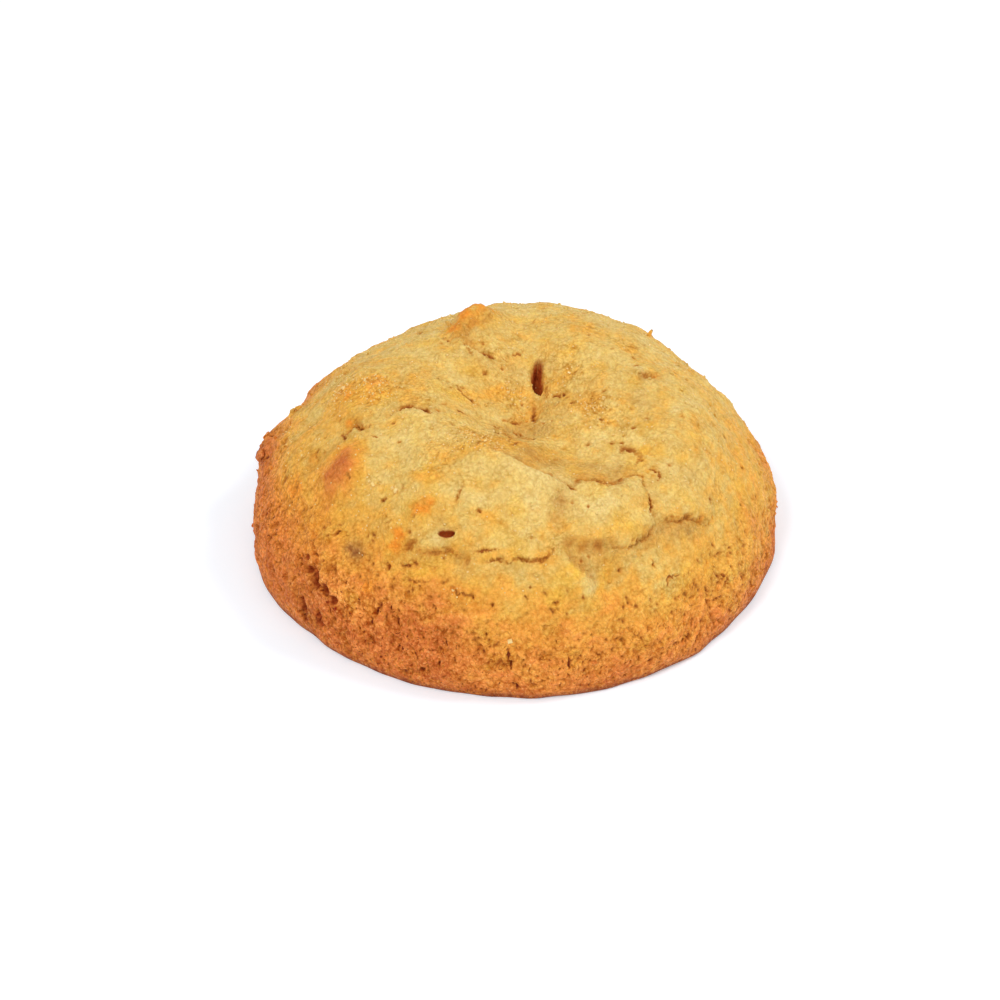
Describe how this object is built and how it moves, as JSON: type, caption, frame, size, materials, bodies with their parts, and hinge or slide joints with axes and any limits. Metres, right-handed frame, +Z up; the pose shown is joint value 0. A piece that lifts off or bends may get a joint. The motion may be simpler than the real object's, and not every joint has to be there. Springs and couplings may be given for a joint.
{
  "type": "baked cookie",
  "caption": "Thick round soft cookie: a domed, golden-brown baked biscuit with a crumpled dent in its top and a flat underside to rest on.",
  "frame": {"origin": "middle of the flat underside, on the surface that the cookie rests on", "axes": "+Z up through the dome, +X to the right and -Y towards the viewer in the picture"},
  "size_m": [0.0783, 0.0788, 0.0287],
  "materials": {
    "crust": "dry golden-brown baked crust, darker round the sides, with fine sugar"
  },
  "bodies": {
    "root": {"cookie": "crust"}
  },
  "joints": []
}
